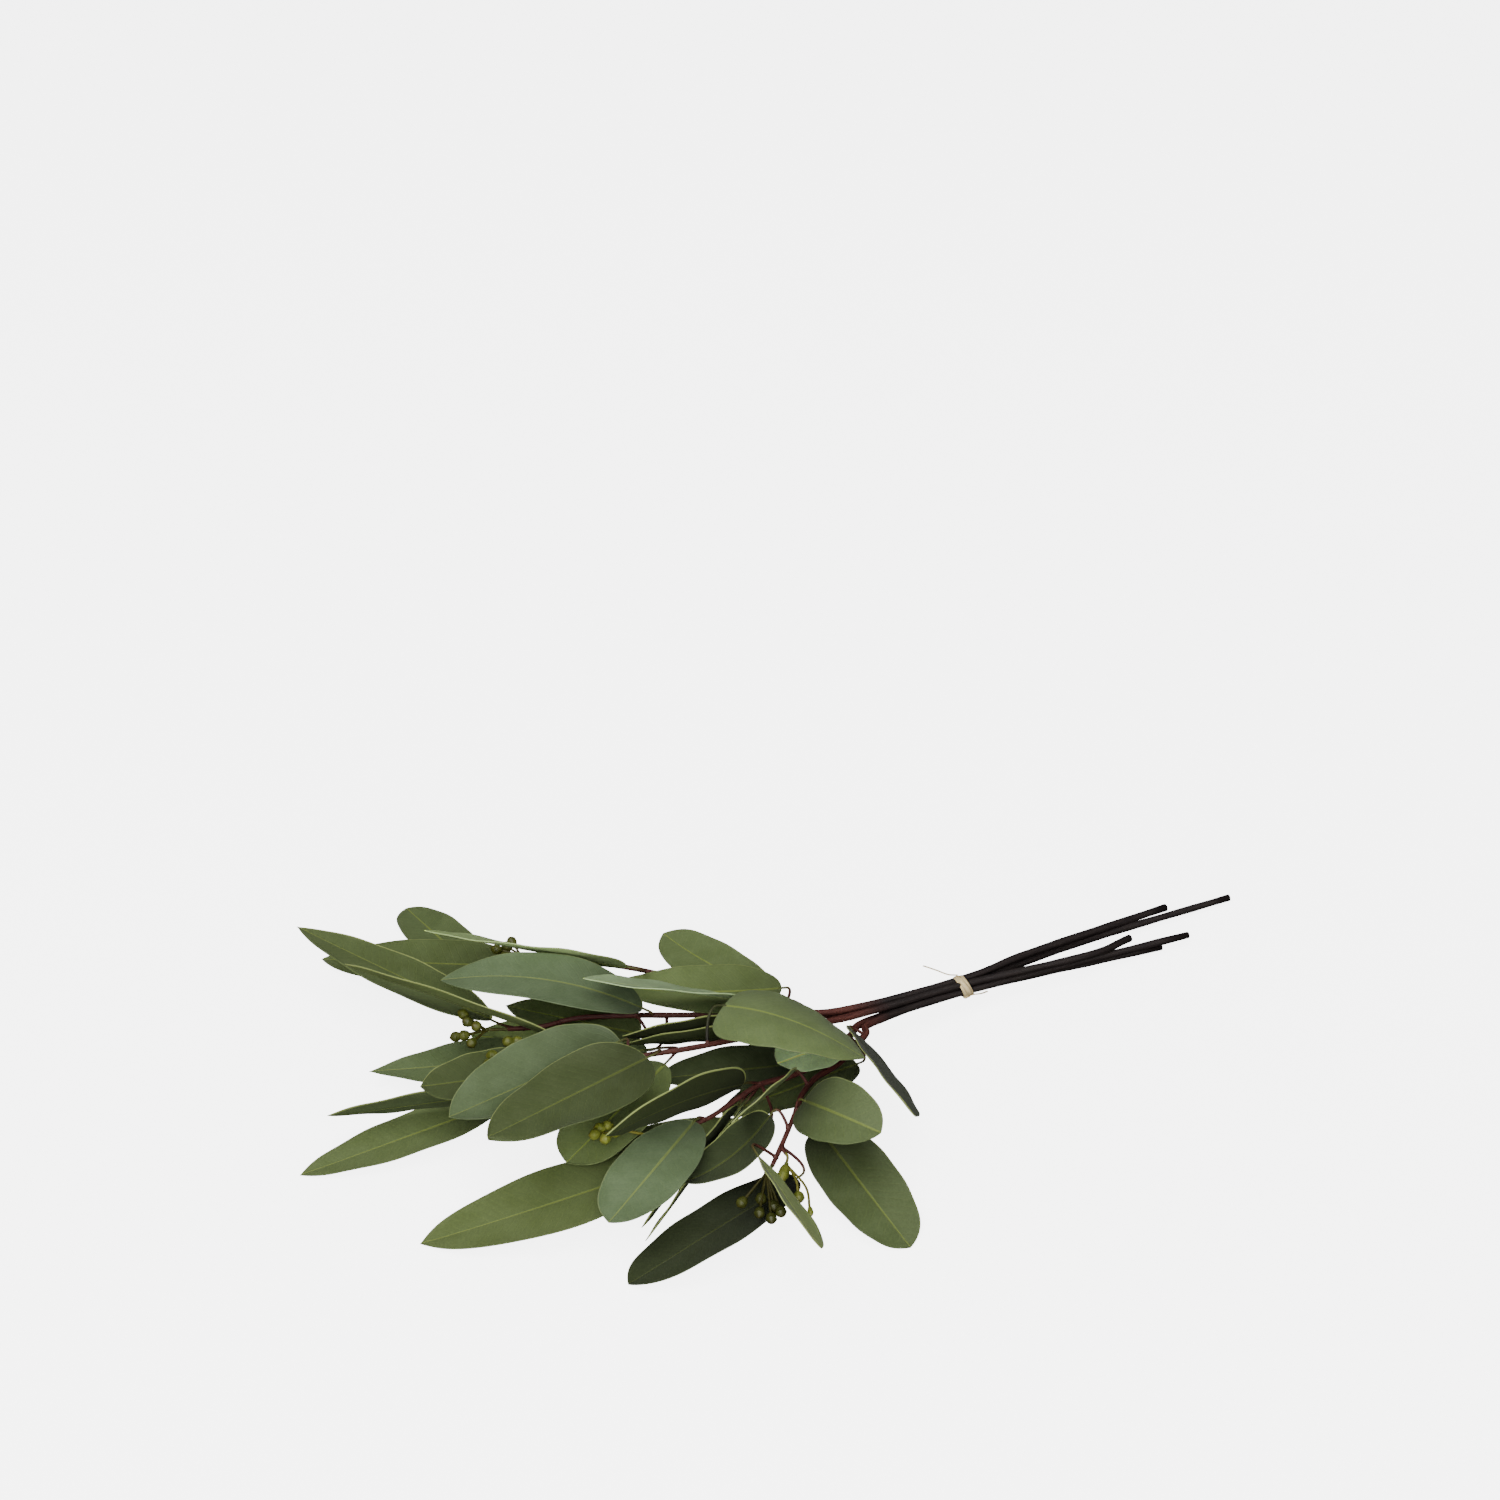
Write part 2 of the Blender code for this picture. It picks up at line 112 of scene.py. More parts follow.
# The raffia strip's outline across its width: share of its width, share of its thickness
STRIP_SECTION = ((-0.5, -0.2), (-0.28, 0.5), (0.0, 0.62), (0.28, 0.5), (0.5, -0.2), (0.28, -0.5),
                 (-0.28, -0.5))
STRIP_THICKNESS = 0.35
# Each winding of the raffia: shift along the stems, width, lift off the stems, start angle
WINDINGS = ((-1.6, 2.9, 0.0, 0.5), (1.6, 2.9, 0.05, 2.1), (0.0, 3.2, 0.32, 3.6))
WINDING_STEPS = 64
WINDING_LEAN = 0.36
KNOT_PROFILE = ((0.0, 0.4), (0.12, 0.95), (0.35, 1.25), (0.5, 1.05), (0.65, 1.3), (0.88, 0.95), (1.0, 0.35))
RAFFIA_END_WIDTH = 1.5
RAFFIA_END_THICKNESS = 0.28

# Depth of the relief in each material, in metres
LEAF_RELIEF = 0.00012
BARK_RELIEF = 0.00025
NUT_RELIEF = 0.0002
RAFFIA_RELIEF = 0.0003

# The photograph's camera: two angles, pixels, a lens and sensor in millimetres, and metres from the tie
PHOTO_YAW = math.radians(27.5)
PHOTO_PITCH = math.radians(34.5)
PHOTO_SIZE = 1500
TIE_PIXEL = (963.0, 986.0)
LENS = 85
SENSOR_WIDTH = 36
TIE_DISTANCE = 1.8
# The direction that is up in the photograph
UP_IN_PHOTO = (math.sin(PHOTO_YAW) * math.sin(PHOTO_PITCH), math.cos(PHOTO_YAW) * math.sin(PHOTO_PITCH),
               math.cos(PHOTO_PITCH))
FLOOR_REACH = 6.0


class Leaf(NamedTuple):
    """One leaf: where its blade starts and ends, how it lies between them, where its stalk forks off."""
    base: tuple
    tip: tuple
    width: float
    roll: float = 0.0
    arch: float = 0.0
    sweep: float = 0.0
    twist: float = 0.0
    cup: float = 0.08
    wave: float = 0.0
    full: float = 0.5
    taper: float = 0.8
    lift: float = 0.0
    fork: tuple = ()
    pale: bool = False


class Nut(NamedTuple):
    """One gum nut: its middle, its size and the bend of its stalk, if it has one."""
    middle: tuple
    length: float = NUT_LENGTH
    radius: float = NUT_RADIUS
    bend: tuple = ()


class Cluster(NamedTuple):
    """Gum nuts whose stalks meet in one hub near the wood."""
    hub: tuple
    nuts: tuple


class Sprig(NamedTuple):
    """One sprig: its branch from the cut end to the last twig, its leaves and its nuts."""
    stem: tuple
    slot_angle: float
    route: tuple
    leaves: tuple
    clusters: tuple
    side_twigs: tuple = ()


SPRIGS = (
    Sprig(
        stem=((170, 12, 3.0), (84, 12, 6)), slot_angle=-18,
        route=((-72, 5, 18.5), (-93, 15, 28), (-124, 40, 31), (-150, 66, 33), (-172, 88, 31),
               (-190, 104, 28)),
        leaves=(
            Leaf((-95, 23, 28), (-108, 124, 1.5), 28, roll=15, sweep=-3, full=0.65, taper=0.5),
            Leaf((-95, 17, 35.5), (-172, 56, 38), 39, arch=-3, twist=8, cup=0.1, taper=0.9),
            Leaf((-163, 52, 49), (-247, 107, 64), 32, roll=-40, twist=26, sweep=2),
            Leaf((-199, 109, 23), (-274, 187, 0.6), 36, roll=2, taper=0.7),
            Leaf((-213, 127, 13), (-218, 207, 0.6), 30, roll=-2, taper=0.45, fork=(-172, 88, 31)),
        ),
        clusters=(
            Cluster((-196, 108, 30), (Nut((-206, 115, 32)), Nut((-200, 116, 31)), Nut((-197, 116, 33)),
                                      Nut((-204, 109, 31)))),
        ),
    ),
    Sprig(
        stem=((134, 18, 5.0), (45, 8, 14)), slot_angle=54,
        route=((-70, 2, 22.5), (-106, 9, 31), (-140, 20, 33), (-169, 29, 37), (-196, 38, 39),
               (-214, 44, 36), (-228, 52, 34)),
        leaves=(
            Leaf((-113, 7, 41), (-198, 27, 72), 38, roll=-30, twist=16, taper=0.7, fork=(-88, 5, 29),
                 pale=True),
            Leaf((-114, 8, 26), (-186, 10, 44), 32, roll=-54),
            Leaf((-171, 18, 50), (-253, 74, 58), 41, roll=-4, arch=7, sweep=3, taper=0.65, pale=True),
            Leaf((-171, 22, 31), (-219, 75, 29), 34),
            Leaf((-165, 34, 10), (-231, 94, 0.9), 40, taper=0.7),
            Leaf((-215, 24, 45), (-286, 117, 50), 28, roll=-50, taper=0.7),
            Leaf((-217, 43, 18), (-290, 83, 8), 34, taper=1.0, pale=True),
            Leaf((-230, 68, 29), (-290, 174, 36), 30, roll=-6, cup=0.1, full=0.6),
        ),
        clusters=(
            Cluster((-238, 55, 35), (Nut((-247, 62, 43)), Nut((-247, 57, 42)), Nut((-244, 53, 41)),
                                     Nut((-254, 56, 36)), Nut((-250, 55, 36)), Nut((-249, 48, 36)))),
        ),
    ),
    Sprig(
        stem=((100, 0, 9.0), (69, -7, 13.5)), slot_angle=126,
        route=((-68, -5, 23), (-110, -9, 33), (-152, -14, 43), (-182, -12, 47), (-204, -4, 45),
               (-218, 6, 45)),
        leaves=(
            Leaf((-141, -10, 60.5), (-95, -67, 52), 53, roll=15, arch=8, sweep=5, twist=20, cup=-0.15,
                 full=0.25, taper=0.5),
            Leaf((-110, 4, 23), (-183, 12, 37), 28, roll=-52),
            Leaf((-171, 14, 27), (-236, 36, 24), 28, pale=True),
            Leaf((-175, -14, 40), (-238, -36, 20), 38, taper=0.4),
            Leaf((-192, -30, 62), (-279, -40, 55), 46, wave=1.5, full=0.4, taper=0.65),
            Leaf((-193, -3, 53), (-286, -11, 48), 45, roll=4, cup=0.2, full=0.4, taper=0.6, pale=True),
            Leaf((-224, 5, 42), (-285, 27, 38), 38, taper=0.6),
            Leaf((-239, 13, 29), (-325, 49, 19), 26, roll=-58),
            Leaf((-243, 24, 15), (-346, 35, 0.6), 29, taper=0.7),
        ),
        clusters=(
            Cluster((-226, 14, 48), (Nut((-239, 26, 49)), Nut((-235, 24, 49)),
                                     Nut((-250, 20, 49), bend=(-238, 15, 49)),
                                     Nut((-254, 15, 49), bend=(-238, 13, 49)), Nut((-247, 14, 49)))),
        ),
    ),
    Sprig(
        stem=((116, -6, 1.8),), slot_angle=270,
        route=((-58, -5, 16.5), (-74, -15, 20), (-100, -30, 24), (-118, -35, 26), (-135, -37, 29),
               (-149, -41, 29), (-171, -48, 29), (-197, -48, 30)),
        leaves=(
            Leaf((-75, -25, 10), (-149, -23, 5), 30, full=0.4, taper=0.6),
            Leaf((-104, -19, 17), (-174, 0, 20), 34),
            Leaf((-139, -40, 0.45), (-212, -16, 0.45), 36, cup=0.0, lift=3, taper=0.7),
            Leaf((-142, -32, 14), (-223, -90, 8), 22, roll=-63),
            Leaf((-147, -36, 19), (-222, -84, 11), 25, roll=-71),
            Leaf((-146, -40, 36), (-230, -64, 55), 36, roll=-65, sweep=-7, taper=0.7, fork=(-135, -37, 29)),
            Leaf((-178, -51, 33), (-243, -93, 30), 36, taper=0.5, pale=True),
            Leaf((-206, -61, 22), (-314, -36, 0.6), 44, sweep=-1, full=0.45, taper=0.7),
        ),
        clusters=(
            Cluster((-211, -45, 36), (Nut((-222, -40, 38)), Nut((-218, -40, 38)), Nut((-226, -43, 38)),
                                      Nut((-223, -48, 38)), Nut((-217, -47, 39)))),
        ),
    ),
    Sprig(
        stem=((131, -8, 5.6),), slot_angle=198,
        route=((-58, -11, 20), (-68, -20, 22), (-91, -36, 25), (-109, -45, 29), (-123, -57, 33),
               (-133, -69, 35), (-151, -88, 35), (-161, -98, 35)),
        leaves=(
            Leaf((-82, -25, 29), (-121, -28, 30), 30, cup=0.04, taper=0.5, pale=True),
            Leaf((-76, -21, 29), (-85, -99, 36), 32, roll=52, taper=0.6),
            Leaf((-124, -48, 40), (-174, -82, 54), 24, roll=-53),
            Leaf((-130, -72, 43), (-111, -112, 46), 35, roll=-20, arch=4, sweep=1.5, full=0.3, taper=0.5),
            Leaf((-124, -76, 26), (-112, -144, 0.6), 38, roll=-3, full=0.35, taper=0.45),
            Leaf((-149, -73, 42), (-197, -77, 23), 32, roll=-12, arch=-5, cup=0.1, full=0.4, taper=0.65),
            Leaf((-148, -98, 22), (-240, -106, 1.2), 39, roll=-14, full=0.4, taper=0.45),
            Leaf((-172, -105, 51), (-169, -161, 38), 28, roll=52, full=0.8, taper=0.6,
                 fork=(-161, -98, 35)),
        ),
        clusters=(
            Cluster((-164, -98, 32), (Nut((-172, -108, 27)), Nut((-177, -116, 27)), Nut((-169, -115, 27)),
                                      Nut((-168, -120, 27)), Nut((-174, -122, 27)), Nut((-181, -106, 27)))),
            Cluster((-154, -99, 34), (Nut((-158, -104, 34), length=11.0),
                                      Nut((-158, -119, 31), bend=(-155, -110, 34)),
                                      Nut((-159, -132, 33), radius=1.2, bend=(-154, -118, 35)))),
        ),
        side_twigs=(((-150, -87, 35), (-152, -91, 36.5), (-152, -95, 36)),),
    ),
)


class Look(NamedTuple):
    """How one leaf differs: its faces' tones, partly its own and partly painted light and shade, yellowing,
    painted shade darkening its base and the length of it, a painted highlight on its rim, red of its stalk.
    """
    # Tone of the top face and of the underside: partly the leaf's own, partly painted light and shade
    shade: float = 1.0
    under: float = 1.0
    warmth: float = 0.2
    # Painted shade darkening the blade towards its base, and how far along the blade it reaches
    painted_base_shade: float = 0.25
    painted_base_shade_length: float = 0.6
    # Strength of the painted highlight along the rim
    rim: float = 0.35
    red: float = 1.0


# Each leaf's look: its tone factors are partly its own tone and partly painted light and shade, brightening
# leaves that lie in shadow
LOOKS = {
    "leaf_1_1": Look(shade=1.55, warmth=0.1),
    "leaf_1_2": Look(shade=1.38, painted_base_shade=0.4),
    "leaf_1_3": Look(shade=3.6, under=8.0, warmth=0.0, painted_base_shade=0.75),
    "leaf_1_4": Look(shade=1.12, painted_base_shade=0.55),
    "leaf_1_5": Look(shade=1.22, warmth=0.1),
    "leaf_2_1": Look(shade=3.4, under=6.0, warmth=0.0, painted_base_shade=0.1),
    "leaf_2_2": Look(under=0.52, rim=1.0),
    "leaf_2_3": Look(shade=1.22, warmth=0.0, painted_base_shade=0.6),
    "leaf_2_4": Look(shade=1.05, rim=0.6),
    "leaf_2_5": Look(shade=2.8),
    "leaf_2_6": Look(under=2.5, warmth=0.3, rim=1.0),
    "leaf_2_7": Look(shade=1.13, painted_base_shade=0.4),
    "leaf_2_8": Look(shade=0.95, rim=1.0),
    "leaf_3_1": Look(shade=1.48, warmth=0.1, painted_base_shade=0.0, red=0.0),
    "leaf_3_2": Look(under=1.15, rim=1.0),
    "leaf_3_3": Look(shade=1.2),
    "leaf_3_4": Look(shade=1.5),
    "leaf_3_5": Look(shade=0.63, painted_base_shade=0.35, rim=0.45),
    "leaf_3_6": Look(shade=0.92, warmth=0.1, rim=0.35),
    "leaf_3_7": Look(shade=0.64, rim=0.7),
    "leaf_3_8": Look(under=1.4, warmth=0.0, rim=0.6),
    "leaf_3_9": Look(shade=1.06),
    "leaf_4_1": Look(shade=1.07, painted_base_shade=0.5),
    "leaf_4_2": Look(shade=0.53, warmth=0.0, painted_base_shade=0.5),
    "leaf_4_3": Look(shade=1.08),
    "leaf_4_4": Look(rim=1.0),
    "leaf_4_5": Look(under=0.65, rim=1.0),
    "leaf_4_6": Look(under=0.72, rim=1.0, painted_base_shade=0.5, painted_base_shade_length=1.0),
    "leaf_4_7": Look(shade=1.2, warmth=0.0, painted_base_shade=0.5),
    "leaf_4_8": Look(shade=1.1, warmth=0.3, painted_base_shade=0.3),
    "leaf_5_1": Look(shade=5.5, warmth=0.0, painted_base_shade=0.0),
    "leaf_5_2": Look(shade=0.38, under=0.47, rim=0.8),
    "leaf_5_3": Look(shade=1.2, under=2.3, rim=1.0),
    "leaf_5_4": Look(shade=0.95, warmth=0.1, painted_base_shade=0.75, painted_base_shade_length=0.7),
    "leaf_5_5": Look(shade=0.8, warmth=0.1, painted_base_shade=0.75, painted_base_shade_length=0.75),
    "leaf_5_6": Look(shade=0.43, warmth=0.0, rim=1.0),
    "leaf_5_7": Look(shade=0.36, warmth=0.1, painted_base_shade=0.95, painted_base_shade_length=1.0),
    "leaf_5_8": Look(shade=2.2, warmth=0.4, rim=1.0),
}

# How light or dark a cluster of gum nuts is beside the others, where it differs: partly its own tone, partly
# painted light and shade
NUT_TONES_AND_PAINTED_LIGHT = {"nuts_1_1": 0.5, "nuts_2_1": 0.5, "nuts_4_1": 1.3, "nuts_5_1": 0.3}


def unit(vector):
    """The vector at length one."""
    vector = np.asarray(vector, float)
    return vector / np.linalg.norm(vector)


def linear(code):
    """A six-digit sRGB colour as linear red, green, blue and alpha."""
    channels = [int(code[i:i + 2], 16) / 255 for i in (0, 2, 4)]
    return [c / 12.92 if c <= 0.04045 else ((c + 0.055) / 1.055) ** 2.4 for c in channels] + [1.0]


def smooth_route(points, steps):
    """Points of a Catmull-Rom curve through the given ones."""
    points = [np.array(point, float) for point in points]
    padded = [2 * points[0] - points[1]] + points + [2 * points[-1] - points[-2]]
    route = []
    for before, start, end, after in zip(padded, padded[1:], padded[2:], padded[3:]):
        for step in range(steps):
            t = step / steps
            route.append(0.5 * (2 * start + (end - before) * t
                                + (2 * before - 5 * start + 4 * end - after) * t ** 2
                                + (3 * start - 3 * end + after - before) * t ** 3))
    route.append(points[-1])
    return route


class Nodes:
    """Short calls for building one material's nodes."""

    def __init__(self, name):
        self.material = bpy.data.materials.new(name)
        self.material.use_nodes = True
        self.tree = self.material.node_tree
        self.shader = self.tree.nodes["Principled BSDF"]

    def put(self, socket, value):
        """Link a socket, or set a plain value."""
        if isinstance(value, bpy.types.NodeSocket):
            self.tree.links.new(value, socket)
        else:
            socket.default_value = value

    def attribute(self, name):
        """A per-point number of the mesh."""
        made = self.tree.nodes.new("ShaderNodeAttribute")
        made.attribute_name = name
        return made.outputs["Fac"]

    def math(self, operation, first, second=0.0, third=0.0):
        """One sum."""
        made = self.tree.nodes.new("ShaderNodeMath")
        made.operation = operation
        for socket, value in zip(made.inputs, (first, second, third)):
            self.put(socket, value)
        return made.outputs[0]

    def between(self, value, low, high, out_low=0.0, out_high=1.0):
        """The value eased from one range to another."""
        made = self.tree.nodes.new("ShaderNodeMapRange")
        made.interpolation_type = "SMOOTHSTEP"
        for name, number in (("Value", value), ("From Min", low), ("From Max", high), ("To Min", out_low),
                             ("To Max", out_high)):
            self.put(made.inputs[name], number)
        return made.outputs["Result"]

    def mix(self, share, first, second, blend="MIX"):
        """Two colours mixed."""
        made = self.tree.nodes.new("ShaderNodeMix")
        made.data_type = "RGBA"
        made.blend_type = blend
        self.put(made.inputs[0], share)
        self.put(made.inputs[6], first)
        self.put(made.inputs[7], second)
        return made.outputs[2]

    def place(self):
        """Object coordinates, in metres."""
        return self.tree.nodes.new("ShaderNodeTexCoord").outputs["Object"]

    def combine(self, x, y, z):
        """Three numbers as one vector."""
        made = self.tree.nodes.new("ShaderNodeCombineXYZ")
        for socket, value in zip(made.inputs, (x, y, z)):
            self.put(socket, value)
        return made.outputs[0]

    def noise(self, vector, scale, detail=3.0, rough=0.55):
        """Cloudy noise from 0 to 1."""
        made = self.tree.nodes.new("ShaderNodeTexNoise")
        self.put(made.inputs["Vector"], vector)
        made.inputs["Scale"].default_value = scale
        made.inputs["Detail"].default_value = detail
        made.inputs["Roughness"].default_value = rough
        return made.outputs["Fac"]

    def bump(self, height, distance):
        """Relief of the given depth in metres."""
        made = self.tree.nodes.new("ShaderNodeBump")
        made.inputs["Strength"].default_value = 1.0
        made.inputs["Distance"].default_value = distance
        self.put(made.inputs["Height"], height)
        return made.outputs["Normal"]


def leaf_material(name, face, cloud, vein, rim, roughness, vein_share, specular):
    """Leaf skin: clouded green scaled by a tone factor that is partly painted light and shade, midrib, side
    veins that loop near the edge, pale rim with a painted highlight.
    """
    face, cloud, vein, rim = (linear(code) for code in (face, cloud, vein, rim))
    n = Nodes(name)
    along = n.attribute("along")
    across = n.attribute("across")
    edge = n.attribute("edge")
    tone = n.attribute("tone")
    warmth = n.attribute("warmth")
    shade = n.attribute("shade")
    rim_highlight_strength = n.attribute("rim")
    away = n.math("ABSOLUTE", across)
    spot = n.combine(n.math("MULTIPLY", along, 0.05), n.math("MULTIPLY", across, 0.05),
                     n.math("MULTIPLY", tone, 9.0))
    clouds = n.noise(spot, 1.6, 4.0)
    speckle = n.noise(n.place(), 900.0, 2.0)
    base = n.mix(n.between(clouds, 0.32, 0.68), face, cloud)
    base = n.mix(warmth, base, linear("5f6a2c"))
    # Painted light and shade: the per-point tone factor, with the painted shade at the base, scales the
    # colour
    base = n.mix(1.0, base, n.combine(shade, shade, shade), "MULTIPLY")
    grain = n.between(speckle, 0.3, 0.7, 0.93, 1.05)
    base = n.mix(1.0, base, n.combine(grain, grain, grain), "MULTIPLY")
    bend = n.math("MULTIPLY", n.noise(spot, 3.0, 2.0), VEIN_WANDER)
    rank = n.math("ADD", n.math("MULTIPLY_ADD", away, -VEIN_SLANT, along), bend)
    phase = n.math("FRACT", n.math("DIVIDE", rank, VEIN_SPACING))
    line = n.math("ABSOLUTE", n.math("SUBTRACT", phase, 0.5))
    side_vein = n.between(line, 0.0, 0.09, 1.0, 0.0)
    inside = n.between(edge, 1.2, 2.6)
    side_vein = n.math("MULTIPLY", side_vein, inside)
    loop = n.between(n.math("ABSOLUTE", n.math("SUBTRACT", edge, VEIN_LOOP_INSET)), 0.0, 0.35, 1.0, 0.0)
    fine_veins = n.math("MAXIMUM", side_vein, n.math("MULTIPLY", loop, 0.7))
    # The veins take the same painted light and shade
    lit_vein = n.mix(1.0, vein, n.combine(shade, shade, shade), "MULTIPLY")
    base = n.mix(n.math("MULTIPLY", fine_veins, vein_share), base, lit_vein)
    thin = n.between(along, 0.0, 90.0, 0.85, 0.3)
    midrib = n.between(n.math("DIVIDE", away, thin), 0.55, 1.25, 1.0, 0.0)
    base = n.mix(n.math("MULTIPLY", midrib, 0.75), base, lit_vein)
    # Painted highlight along the rim, its strength given per point
    rim_highlight_width = n.math("MULTIPLY_ADD", rim_highlight_strength, 0.5, 0.3)
    rim_highlight_share = n.between(n.math("DIVIDE", edge, rim_highlight_width), 0.4, 1.1, 1.0, 0.0)
    base = n.mix(n.math("MULTIPLY", rim_highlight_share, rim_highlight_strength), base, rim)
    n.put(n.shader.inputs["Base Color"], base)
    n.put(n.shader.inputs["Roughness"], n.between(clouds, 0.3, 0.7, roughness - 0.05, roughness + 0.07))
    n.shader.inputs["Specular IOR Level"].default_value = specular
    n.shader.inputs["Sheen Weight"].default_value = specular * 0.4
    n.shader.inputs["Sheen Roughness"].default_value = 0.5
    groove = n.math("MULTIPLY_ADD", fine_veins, -0.35, n.math("MULTIPLY", midrib, -1.0))
    height = n.math("ADD", groove, n.math("MULTIPLY", speckle, 0.25))
    n.put(n.shader.inputs["Normal"], n.bump(height, LEAF_RELIEF))
    return n.material


def bark_material(name):
    """Dark brown bark that turns reddish on young wood and green at the leaves."""
    n = Nodes(name)
    youth = n.attribute("youth")
    green = n.attribute("green")
    along = n.attribute("along")
    around = n.attribute("around")
    cut = n.attribute("cut")
    spot = n.combine(n.math("MULTIPLY", along, 0.02), n.math("SINE", around), n.math("COSINE", around))
    streaks = n.noise(spot, 5.0, 5.0, 0.6)
    blotch = n.noise(n.place(), 55.0, 3.0)
    old = n.mix(n.between(streaks, 0.3, 0.7), linear("171214"), linear("281f1c"))
    old = n.mix(n.between(blotch, 0.45, 0.75, 0.0, 0.5), old, linear("231e19"))
    young = n.mix(n.between(streaks, 0.3, 0.7), linear("3e1c19"), linear("65372e"))
    base = n.mix(youth, old, young)
    base = n.mix(green, base, linear("4e5a26"))
    base = n.mix(cut, base, linear("6d5a48"))
    n.put(n.shader.inputs["Base Color"], base)
    n.put(n.shader.inputs["Roughness"], n.between(streaks, 0.3, 0.7, 0.5, 0.68))
    n.shader.inputs["Specular IOR Level"].default_value = 0.4
    height = n.math("ADD", streaks, n.math("MULTIPLY", blotch, 0.5))
    n.put(n.shader.inputs["Normal"], n.bump(height, BARK_RELIEF))
    return n.material


def nut_material(name):
    """Olive gum nuts, browner at the tip and at the stalk."""
    n = Nodes(name)
    along = n.attribute("along")
    tone = n.attribute("tone")
    clouds = n.noise(n.place(), 320.0, 3.0)
    base = n.mix(n.between(clouds, 0.3, 0.7), linear("58601e"), linear("757b2e"))
    base = n.mix(n.between(along, 0.78, 1.0, 0.0, 0.45), base, linear("6b5a22"))
    base = n.mix(n.between(along, 0.16, 0.0, 0.0, 0.6), base, linear("4f5522"))
    # Random tone times the cluster's factor, which is partly its own tone and partly painted light and shade
    shade = n.math("MULTIPLY", n.math("MULTIPLY_ADD", tone, 0.4, 0.8), n.attribute("shade"))
    base = n.mix(1.0, base, n.combine(shade, shade, shade), "MULTIPLY")
    n.put(n.shader.inputs["Base Color"], base)
    n.put(n.shader.inputs["Roughness"], n.between(clouds, 0.3, 0.7, 0.4, 0.55))
    n.shader.inputs["Specular IOR Level"].default_value = 0.4
    n.put(n.shader.inputs["Normal"], n.bump(clouds, NUT_RELIEF))
    return n.material


def raffia_material(name):
    """Cream raffia with fibres along the strip."""
    n = Nodes(name)
    along = n.attribute("along")
    across = n.attribute("across")
    spot = n.combine(n.math("MULTIPLY", along, 0.06), n.math("MULTIPLY", across, 2.4), 0.0)
    fibres = n.noise(spot, 1.5, 4.0, 0.65)
    base = n.mix(n.between(fibres, 0.3, 0.7), linear("ddc082"), linear("fbe7b8"))
    n.put(n.shader.inputs["Base Color"], base)
    n.shader.inputs["Roughness"].default_value = 0.75
    n.shader.inputs["Specular IOR Level"].default_value = 0.3
    n.put(n.shader.inputs["Normal"], n.bump(fibres, RAFFIA_RELIEF))
    return n.material


def piece(name, points, faces, face_materials, materials, attributes, node_name):
    """A smooth-shaded mesh piece that rides on the root body and stands for a node."""
    mesh = bpy.data.meshes.new(name)
    shift = np.array(BUNCH_AT, float)
    mesh.from_pydata([tuple(point) for point in (np.asarray(points, float) + shift) * MM], [], faces)
    for material in materials:
        mesh.materials.append(material)
    mesh.polygons.foreach_set("material_index", face_materials)
    for key, values in attributes.items():
        mesh.attributes.new(key, "FLOAT", "POINT").data.foreach_set("value", np.asarray(values, np.float32))
    mesh.shade_smooth()
    mesh.update()
    made = bpy.data.objects.new(name, mesh)
    bpy.context.scene.collection.objects.link(made)
    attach(made, "root")
    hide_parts(node_name)
    return made


def ring_faces(rings, count):
    """The faces that join rings of points, one after another, and close both ends."""
    faces = []
    for ring in range(rings - 1):
        near = ring * count
        far = near + count
        for spot in range(count):
            following = (spot + 1) % count
            faces.append((near + spot, near + following, far + following, far + spot))
    faces.append(tuple(range(count))[::-1])
    faces.append(tuple(range((rings - 1) * count, rings * count)))
    return faces


def leaf_rows(leaf, rows, pointed=False):
    """Share of the length, centre, side, up and half width of each row of the blade."""
    base = np.array(leaf.base, float)
    tip = np.array(leaf.tip, float)
    axis = unit(tip - base)
    level_side = unit(np.cross(axis, (0, 0, 1)))
    level_up = np.cross(level_side, axis)
    along = (1 - np.cos(np.pi * np.arange(rows + 1) / rows)) / 2
    widest = leaf.full / (leaf.full + leaf.taper)
    half = leaf.width / 2 * along ** leaf.full * (1 - along) ** leaf.taper
    half = half / (widest ** leaf.full * (1 - widest) ** leaf.taper)
    if pointed:
        half = half * (1 - np.exp(-(1 - along) / POINT_REACH)) ** 0.5
    half[0] = BASE_HALF_WIDTH
    half[-1] = TIP_HALF_WIDTH
    roll = math.radians(leaf.roll)
    bow_side = level_side * math.cos(roll) + level_up * math.sin(roll)
    bow_up = level_up * math.cos(roll) - level_side * math.sin(roll)
    made = []
    for share, reach in zip(along, half):
        bow = 4 * share * (1 - share)
        centre = base + share * (tip - base) + bow * (leaf.arch * bow_up + leaf.sweep * bow_side)
        centre[2] += leaf.lift * max(0.0, 1 - share / LIFTED_SHARE) ** 2
        turn = roll + math.radians(leaf.twist) * (share - 0.5)
        side = level_side * math.cos(turn) + level_up * math.sin(turn)
        up = level_up * math.cos(turn) - level_side * math.sin(turn)
        made.append((share, centre, side, up, reach))
    return made


